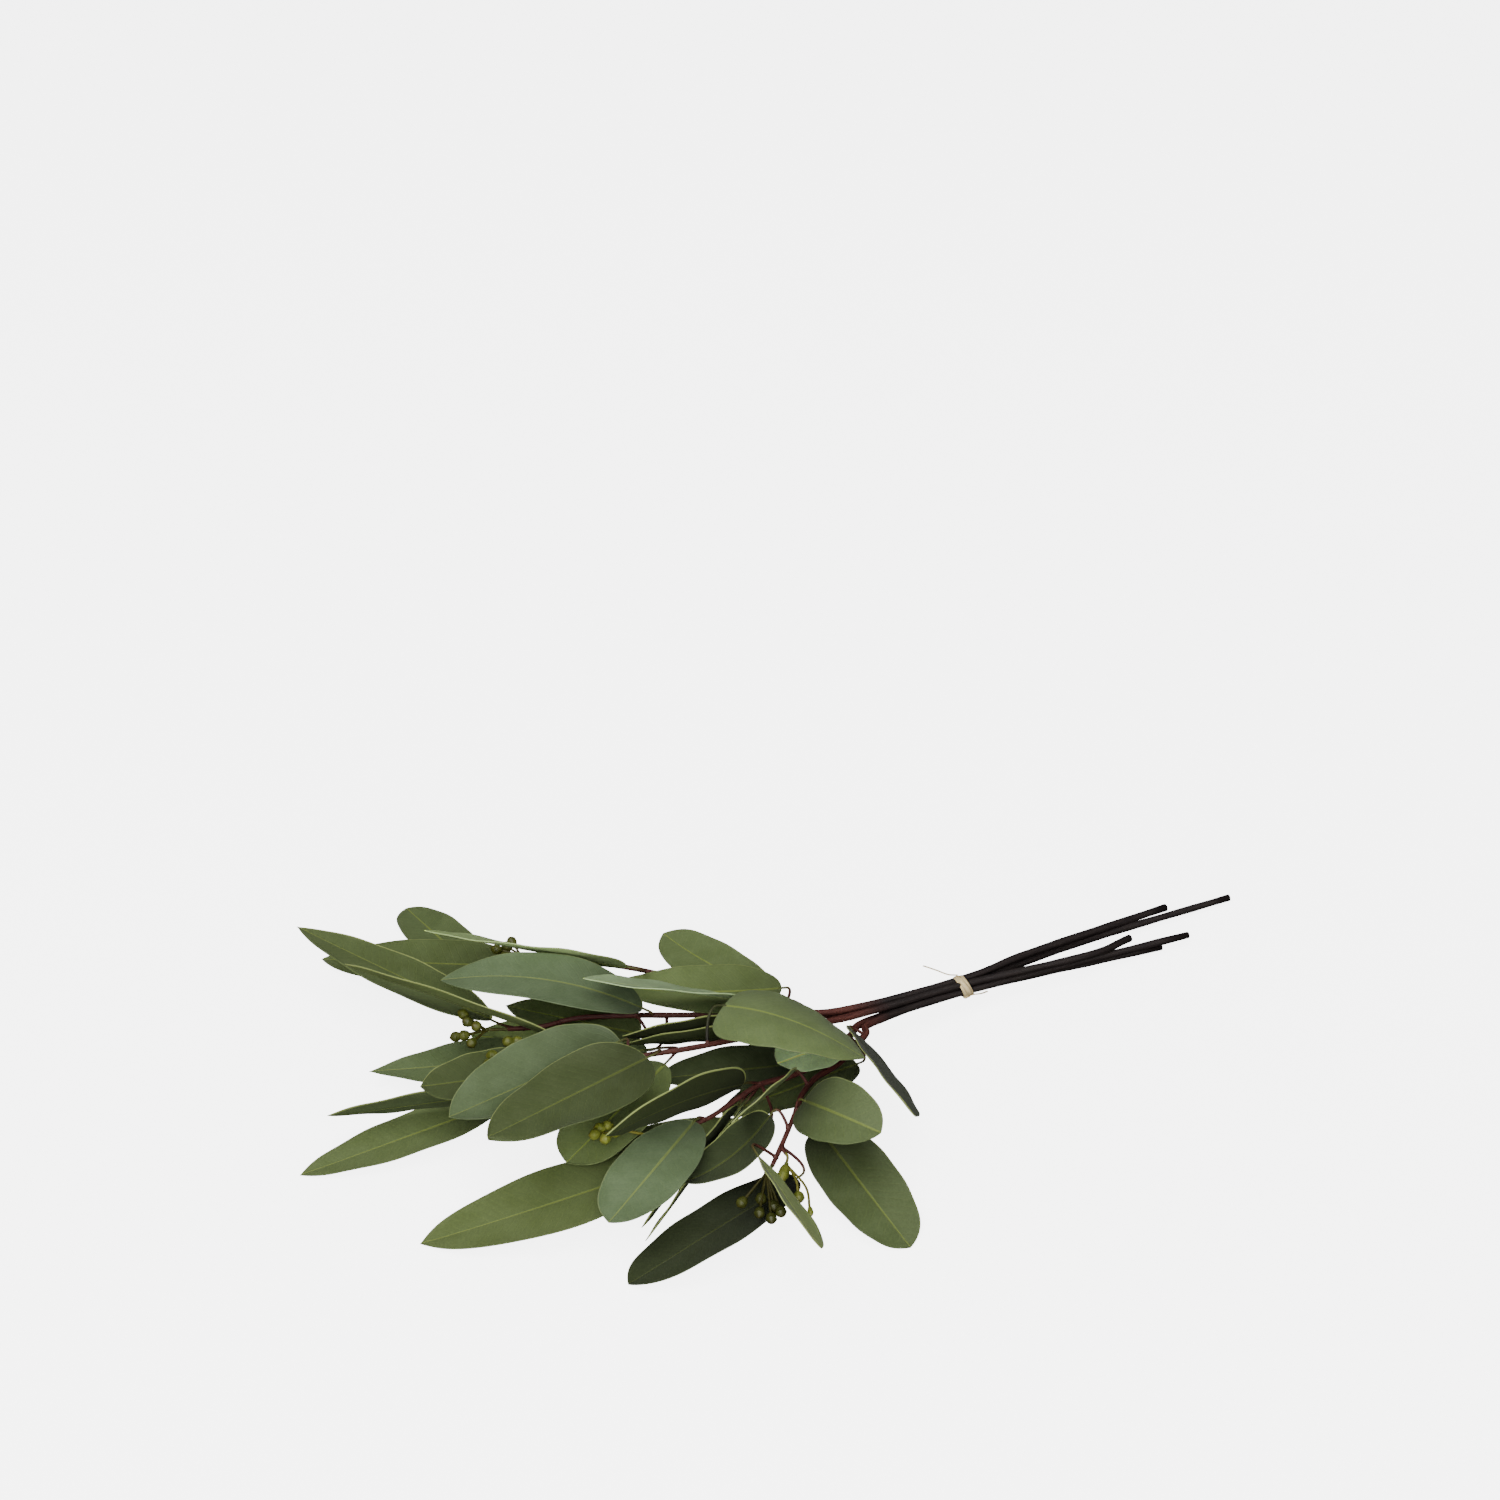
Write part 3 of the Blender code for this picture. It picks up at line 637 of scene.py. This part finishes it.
def make_leaf(name, leaf, seed, top, under):
    """A thin leaf with a folded midrib, a rippled edge and a rounded rim."""
    look = LOOKS.get(name, Look())
    rng = np.random.default_rng(seed)
    tone, turn_one, turn_two, beat = rng.random(4)
    length = np.linalg.norm(np.subtract(leaf.tip, leaf.base))
    across = np.sin(np.linspace(-math.pi / 2, math.pi / 2, LEAF_COLUMNS + 1))
    points = []
    keys = {"along": [], "across": [], "edge": [], "tone": [], "warmth": [], "shade": [], "rim": []}
    flat = leaf.cup == 0.0
    for share, centre, side, up, reach in leaf_rows(leaf, LEAF_ROWS, pointed=True):
        ripple = leaf.wave * math.sin(2.5 * math.pi * share)
        calm = min(1.0, reach / 8)
        height = 0.0 if flat else EDGE_RIPPLE * calm
        wavy = height * math.sin(2 * math.pi * ((RIPPLE_WAVES + 2 * beat) * share + turn_one))
        other = height * math.sin(2 * math.pi * ((OTHER_RIPPLE_WAVES + 2 * beat) * share + turn_two))
        rise = leaf.cup * reach * across ** 2 + ripple * across ** 3
        rise = rise + np.where(across > 0, wavy, other) * across ** 4
        rise = rise - MIDRIB_FOLD * calm * np.exp(-(across * reach / MIDRIB_REACH) ** 2)
        middle = centre + np.outer(across * reach, side) + np.outer(rise, up)
        thick = min(HALF_THICKNESS, 0.2 + reach * 0.1)
        ring = list(middle + up * thick)
        ring.append(middle[-1] + side * RIM_BULGE * min(1.0, reach))
        ring += list((middle - up * thick)[::-1])
        ring.append(middle[0] - side * RIM_BULGE * min(1.0, reach))
        points += ring
        off = np.concatenate([across, [1.0], across[::-1], [-1.0]]) * reach
        keys["across"] += list(off)
        keys["edge"] += list(np.maximum(0.0, (reach - np.abs(off)) * min(1.0, 0.25 + share * 8)))
        keys["along"] += [share * length] * len(ring)
        keys["tone"] += [tone] * len(ring)
        keys["warmth"] += [look.warmth] * len(ring)
        # Painted highlight on the rim: an even share on both edges, more on the edge that faces up in the
        # view
        upward_highlight = RIM_HIGHLIGHT_UPWARD_SHARE * np.sign(off) * np.dot(side, UP_IN_PHOTO)
        keys["rim"] += list(look.rim * np.clip(RIM_HIGHLIGHT_EVEN_SHARE + upward_highlight, RIM_HIGHLIGHT_LEAST_SHARE, 1.0))
        # Painted shade: the blade darkens towards its base
        dark = 1 - look.painted_base_shade * (1 - min(1.0, share / look.painted_base_shade_length)) ** 1.5
        middle_tone_and_painted_light = (look.shade + look.under) / 2
        keys["shade"] += [look.shade * dark] * (LEAF_COLUMNS + 1) + [middle_tone_and_painted_light * dark]
        keys["shade"] += [look.under * dark] * (LEAF_COLUMNS + 1) + [middle_tone_and_painted_light * dark]
    count = len(ring)
    round_ring = [0 if spot <= LEAF_COLUMNS + 1 or spot == count - 1 else 1 for spot in range(count)]
    face_materials = round_ring * LEAF_ROWS + [0, 0]
    faces = ring_faces(LEAF_ROWS + 1, count)
    return piece("fine_" + name, points, faces, face_materials, (top, under), keys, name)


class Bundle:
    """Tubes, turned shapes and strips gathered into one mesh."""

    def __init__(self, *names):
        self.points = []
        self.faces = []
        self.keys = {name: [] for name in names}

    def add(self, points, faces, **values):
        """Take in points with their faces and numbers."""
        start = len(self.points)
        self.points += list(points)
        self.faces += [tuple(start + index for index in face) for face in faces]
        for name, made in self.keys.items():
            value = values.get(name, 0.0)
            made += list(value) if np.ndim(value) else [value] * len(points)

    def tube(self, path, radii, sides, **values):
        """A closed tube along a path; values may be given for each of its points."""
        path = [np.array(point, float) for point in path]
        neighbours = zip([path[0]] + path[:-1], path[1:] + [path[-1]])
        tangents = [unit(after - before) for before, after in neighbours]
        side = unit(np.cross(tangents[0], (0.31, 0.17, 0.94)))
        points = []
        around = []
        along = []
        walked = 0.0
        for index, (point, tangent, radius) in enumerate(zip(path, tangents, radii)):
            side = unit(side - tangent * np.dot(side, tangent))
            other = np.cross(tangent, side)
            walked += np.linalg.norm(point - path[index - 1]) if index else 0.0
            for turn in range(sides):
                angle = 2 * math.pi * turn / sides
                points.append(point + radius * (side * math.cos(angle) + other * math.sin(angle)))
                around.append(angle)
                along.append(walked)
        spread = {}
        for name, value in values.items():
            spread[name] = np.repeat(value, sides) if np.ndim(value) else value
        self.add(points, ring_faces(len(path), sides), **{"around": around, "along": along, **spread})

    def turned(self, start, axis, profile, sides, ripple=0.0, **values):
        """A solid turned about the axis; the profile gives share along it and radius."""
        start = np.array(start, float)
        axis = np.array(axis, float)
        side = unit(np.cross(axis, (0.3, 0.2, 1.0)))
        other = unit(np.cross(axis, side))
        points = []
        along = []
        for share, radius in profile:
            for turn in range(sides):
                angle = 2 * math.pi * turn / sides
                reach = radius * (1 + ripple * math.cos(5 * angle))
                outward = side * math.cos(angle) + other * math.sin(angle)
                points.append(start + share * axis + reach * outward)
                along.append(share)
        self.add(points, ring_faces(len(profile), sides), **{"along": along, **values})

    def strip(self, path, sides, ups, width, thick):
        """A crowned strip of raffia along a path."""
        points = []
        along = []
        across = []
        walked = 0.0
        for index, (point, side, up) in enumerate(zip(path, sides, ups)):
            walked += np.linalg.norm(point - path[index - 1]) if index else 0.0
            for offset, lift in STRIP_SECTION:
                points.append(point + side * offset * width + up * lift * thick)
                along.append(walked)
                across.append(offset * width)
        self.add(points, ring_faces(len(path), len(STRIP_SECTION)), along=along, across=across)

    def finish(self, name, material):
        """Make the piece that stands for the named node."""
        first = [0] * len(self.faces)
        return piece("fine_" + name, self.points, self.faces, first, (material,), self.keys, name)


def tie_slot(sprig):
    """Where the sprig's stem passes through the tie."""
    angle = math.radians(sprig.slot_angle)
    return (0.0, SLOT_RADIUS * math.cos(angle), TIE_HEIGHT + SLOT_RADIUS * math.sin(angle))


def branch_route(sprig, steps):
    """The points of the branch from its cut end to its last twig, and its radius at each."""
    points = smooth_route(sprig.stem + (tie_slot(sprig),) + sprig.route, steps)
    woody = (FIRST_TWIG_POINT + 1) * steps / 2
    radii = []
    for index in range(len(points)):
        thinning = max(0.0, (index - woody + 1) / (len(points) - woody))
        radii.append(STEM_RADIUS + (TWIG_TIP_RADIUS - STEM_RADIUS) * min(1.0, thinning) ** THINNING_POWER)
    return points, radii


def petiole_path(leaf, route):
    """The leaf stalk's curve from the branch into the start of the blade."""
    rows = leaf_rows(leaf, 8)
    heading = unit(rows[1][1] - rows[0][1])
    end = rows[0][1]
    neck = end - heading * PETIOLE_NECK
    twigs = route[FIRST_TWIG_POINT:-1]
    wanted = np.array(leaf.fork or neck, float)
    reach = [np.linalg.norm(point - wanted) + EARLIER_FORK * index for index, point in enumerate(twigs)]
    start = twigs[int(np.argmin(reach))]
    lead = neck - heading * np.linalg.norm(neck - start) * PETIOLE_LEAD
    curve = [(1 - t) ** 2 * start + 2 * t * (1 - t) * lead + t * t * neck for t in np.linspace(0, 1, 13)]
    return curve + [end, end + heading * PETIOLE_IN_BLADE]


def make_branch(number, sprig, material):
    """A stem with its cut face, its twig and its leaf stalks, each in a thickened collar."""
    rng = np.random.default_rng(number)
    made = Bundle("along", "around", "youth", "green", "cut")
    route, radii = branch_route(sprig, BRANCH_STEPS)
    coarse = branch_route(sprig, 2)[0]
    length = np.cumsum([0.0] + [np.linalg.norm(b - a) for a, b in zip(route, route[1:])])
    from_tie = [-point[0] for point in route]
    youth = [min(1.0, max(0.0, (x - YOUNG_WOOD_FROM) / YOUNG_WOOD_OVER)) for x in from_tie]
    knots = 1 + 0.05 * np.sin(length / 5.3 + rng.random() * 6)
    knots = knots + 0.03 * np.sin(length / 1.9 + rng.random() * 6)
    radii = (np.array(radii) + BARK_SWELL) * knots
    made.tube(route, radii, 14, youth=youth)
    ahead = unit(route[1] - route[0])
    cut_face = ((0.0, 0.1), (0.1, radii[0] * 0.72), (1.0, radii[0] * 0.74))
    made.turned(route[0] - ahead * 0.06, ahead * 0.3, cut_face, 14, cut=1.0)
    for order, leaf in enumerate(sprig.leaves, start=1):
        red = LOOKS.get(f"leaf_{number}_{order}", Look()).red
        path = petiole_path(leaf, coarse)
        shares = np.linspace(0, 1, len(path))
        widths = PETIOLE_RADIUS * (1.1 - 0.35 * shares)
        widths[-1] = 0.3
        green = np.clip((shares - 0.45 * red) / 0.5, 0, 1) * (0.4 + 0.5 * red)
        made.tube(path, widths, 10, youth=red, green=green)
        collar = unit(path[1] - path[0])
        made.turned(path[0] - collar * 1.0, collar * COLLAR_LENGTH, COLLAR_PROFILE, 12, youth=0.8)
    for twig in sprig.side_twigs:
        path = smooth_route(twig, 5)
        made.tube(path, np.linspace(TWIG_TIP_RADIUS, 0.75, len(path)), 10, youth=1.0)
    return made.finish(f"branch_{number}", material)


def make_nuts(name, cluster, twig, seed, material):
    """Gum nuts on their stalks: a cup with a ridge under a blunt cap."""
    rng = np.random.default_rng(seed)
    made = Bundle("along", "tone", "shade")
    # The cluster's factor: partly its own tone, partly painted light and shade
    shade = NUT_TONES_AND_PAINTED_LIGHT.get(name, 1.0)
    hub = np.array(cluster.hub, float)
    wood_end = np.array(twig[-1], float)
    onward = unit(wood_end - np.array(twig[-2], float))
    foot_stalk = smooth_route((wood_end - onward * 1.0, wood_end + onward * 1.5, hub), 5)
    made.tube(foot_stalk, np.linspace(0.8, 0.65, len(foot_stalk)), 10, tone=0.2, shade=shade)
    made.turned(hub - onward * 1.2, onward * 2.6, HUB_PROFILE, 12, tone=0.3, shade=shade)
    for nut in cluster.nuts:
        middle = np.array(nut.middle, float)
        bends = [np.array(nut.bend, float)] if nut.bend else []
        heading = unit(middle - ([hub] + bends)[-1])
        tall = nut.length * NUT_PLUMPNESS
        foot = middle - heading * tall / 2
        path = smooth_route([hub] + bends + [foot - heading * 0.2, foot + heading * 1.0], 5)
        made.tube(path, np.linspace(0.55, 0.75, len(path)), 8, tone=0.2, shade=shade)
        size = nut.radius * NUT_PLUMPNESS * (0.96 + 0.08 * rng.random())
        profile = [(share, radius * size) for share, radius in NUT_PROFILE]
        made.turned(foot, heading * tall, profile, 18, NUT_RIPPLE, tone=rng.random(), shade=shade)
    return made.finish(name, material)


def make_tie(material):
    """Raffia wound round the stems, with a small knot and two loose ends."""
    made = Bundle("along", "across")
    inner = SLOT_RADIUS + STEM_RADIUS + 0.25
    for offset, width, out, start in WINDINGS:
        path = []
        ups = []
        for step in range(WINDING_STEPS + 1):
            angle = start + 2 * math.pi * step / WINDING_STEPS * 1.01
            radius = inner + out + 0.12 * math.sin(3 * angle + offset)
            drift = offset + 0.35 * math.sin(angle + start)
            lean = -WINDING_LEAN * radius * math.sin(angle)
            height = TIE_HEIGHT + radius * math.sin(angle)
            path.append(np.array((drift + lean, radius * math.cos(angle), height)))
            ups.append(np.array((0.0, math.cos(angle), math.sin(angle))))
        sides = [np.array((1.0, 0.0, 0.0))] * len(path)
        made.strip(path, sides, ups, width, STRIP_THICKNESS)
    knot = np.array((0.4, -inner * 0.7, TIE_HEIGHT - inner * 0.76))
    made.turned(knot - np.array((2.2, 0.0, 0.0)), (4.4, 0.3, 0.4), KNOT_PROFILE, 14, across=0.0)
    near_end = ((0.4, knot[1], knot[2]), (4.0, knot[1] - 0.5, knot[2] + 0.2),
                (8.0, knot[1] - 0.9, knot[2] - 0.4), (12.0, knot[1] - 0.6, knot[2] - 0.6))
    far_end = ((-1.0, 4.0, TIE_HEIGHT + 4.6), (-5.0, 7.0, 18.4), (-9.0, 11.5, 19.4), (-13.0, 18.0, 19.2))
    for route in (near_end, far_end):
        path = smooth_route(route, 6)
        heading = [unit(b - a) for a, b in zip(path, path[1:] + [2 * path[-1] - path[-2]])]
        sides = [unit(np.cross(h, (0.1, 0.25, 1.0))) for h in heading]
        ups = [np.cross(s, h) for s, h in zip(sides, heading)]
        made.strip(path, sides, ups, RAFFIA_END_WIDTH, RAFFIA_END_THICKNESS)
    return made.finish("tie", material)


def make_floor():
    """A plain pale floor that glows a little, and casts no light up onto the undersides of the leaves."""
    n = Nodes("floor")
    n.shader.inputs["Base Color"].default_value = (0.93, 0.93, 0.93, 1.0)
    n.shader.inputs["Roughness"].default_value = 0.9
    n.shader.inputs["Specular IOR Level"].default_value = 0.1
    n.shader.inputs["Emission Color"].default_value = (1.0, 1.0, 1.0, 1.0)
    n.shader.inputs["Emission Strength"].default_value = 5.0
    mesh = bpy.data.meshes.new("floor")
    corners = [(x * FLOOR_REACH, y * FLOOR_REACH, 0) for x, y in ((-1, -1), (1, -1), (1, 1), (-1, 1))]
    mesh.from_pydata(corners, [], [(0, 1, 2, 3)])
    mesh.materials.append(n.material)
    floor = bpy.data.objects.new("floor", mesh)
    bpy.context.scene.collection.objects.link(floor)
    floor.visible_diffuse = False
    floor.visible_glossy = False


def make_light(name, place, aim, size, power):
    """A soft square lamp that faces a point."""
    data = bpy.data.lights.new(name, "AREA")
    data.size = size
    data.energy = power
    lamp = bpy.data.objects.new(name, data)
    lamp.location = place
    lamp.rotation_euler = (Vector(aim) - Vector(place)).to_track_quat("-Z", "Y").to_euler()
    bpy.context.scene.collection.objects.link(lamp)


def make_camera():
    """The photograph's camera, placed so that the tie falls on its pixel."""
    right = Vector((math.cos(PHOTO_YAW), -math.sin(PHOTO_YAW), 0.0))
    up = Vector(UP_IN_PHOTO)
    forward = up.cross(right)
    focal = PHOTO_SIZE * LENS / SENSOR_WIDTH
    middle = PHOTO_SIZE / 2
    line = forward + right * (TIE_PIXEL[0] - middle) / focal - up * (TIE_PIXEL[1] - middle) / focal
    tie = (Vector(BUNCH_AT) + Vector((0.0, 0.0, TIE_HEIGHT))) * MM
    data = bpy.data.cameras.new("camera")
    data.lens = LENS
    data.sensor_width = SENSOR_WIDTH
    camera = bpy.data.objects.new("camera", data)
    turn = Matrix((right, up, -forward)).transposed().to_4x4()
    camera.matrix_world = Matrix.Translation(tie - line.normalized() * TIE_DISTANCE) @ turn
    bpy.context.scene.collection.objects.link(camera)
    bpy.context.scene.camera = camera


def make_world():
    """Even pale surroundings."""
    world = bpy.data.worlds.new("world")
    world.use_nodes = True
    tree = world.node_tree
    direction = tree.nodes.new("ShaderNodeTexCoord")
    split = tree.nodes.new("ShaderNodeSeparateXYZ")
    tree.links.new(direction.outputs["Generated"], split.inputs[0])
    above = tree.nodes.new("ShaderNodeMapRange")
    above.inputs["From Min"].default_value = -0.1
    above.inputs["From Max"].default_value = 0.25
    above.inputs["To Min"].default_value = 0.28
    above.inputs["To Max"].default_value = 1.0
    tree.links.new(split.outputs["Z"], above.inputs["Value"])
    tree.links.new(above.outputs["Result"], tree.nodes["Background"].inputs[1])
    bpy.context.scene.world = world


def build():
    """Dress the bunch and set the stage."""
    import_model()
    make_camera()
    make_world()
    make_floor()
    make_light("key", place=(-0.7, -0.4, 2.2), aim=(-0.05, 0.0, 0.0), size=2.0, power=46)
    make_light("fill", place=(-0.9, -1.7, 1.15), aim=(0.0, 0.0, 0.0), size=1.6, power=52)
    # The pale rim colour of each leaf material is the colour of the painted rim highlight
    green_top = leaf_material("leaf_green", face="52603b", cloud="596742", vein="78863e", rim="98a462",
                              roughness=0.5, vein_share=0.08, specular=0.2)
    # Underside colours are darker than the tops: partly the underside's own duller green, partly painted
    # shade
    green_shaded_under = leaf_material("leaf_green_shaded_under", face="465134", cloud="4d583a", vein="6f7b3e",
                                rim="98a462", roughness=0.62, vein_share=0.1, specular=0.05)
    blue_top = leaf_material("leaf_blue_green", face="546445", cloud="5c6c4d", vein="798648", rim="9ba86a",
                             roughness=0.5, vein_share=0.07, specular=0.2)
    blue_shaded_under = leaf_material("leaf_blue_green_shaded_under", face="48543a", cloud="505c42", vein="707d44",
                               rim="9ba86a", roughness=0.62, vein_share=0.09, specular=0.05)
    bark = bark_material("bark")
    olive = nut_material("nut_olive")
    raffia = raffia_material("raffia_cream")
    for number, sprig in enumerate(SPRIGS, start=1):
        make_branch(number, sprig, bark)
        twigs = (branch_route(sprig, BRANCH_STEPS)[0],) + sprig.side_twigs
        for order, (cluster, twig) in enumerate(zip(sprig.clusters, twigs), start=1):
            make_nuts(f"nuts_{number}_{order}", cluster, twig, 10 * number + order, olive)
        for order, leaf in enumerate(sprig.leaves, start=1):
            seed = 100 * number + order
            if leaf.pale:
                make_leaf(f"leaf_{number}_{order}", leaf, seed, blue_top, blue_shaded_under)
            else:
                make_leaf(f"leaf_{number}_{order}", leaf, seed, green_top, green_shaded_under)
    make_tie(raffia)


build()
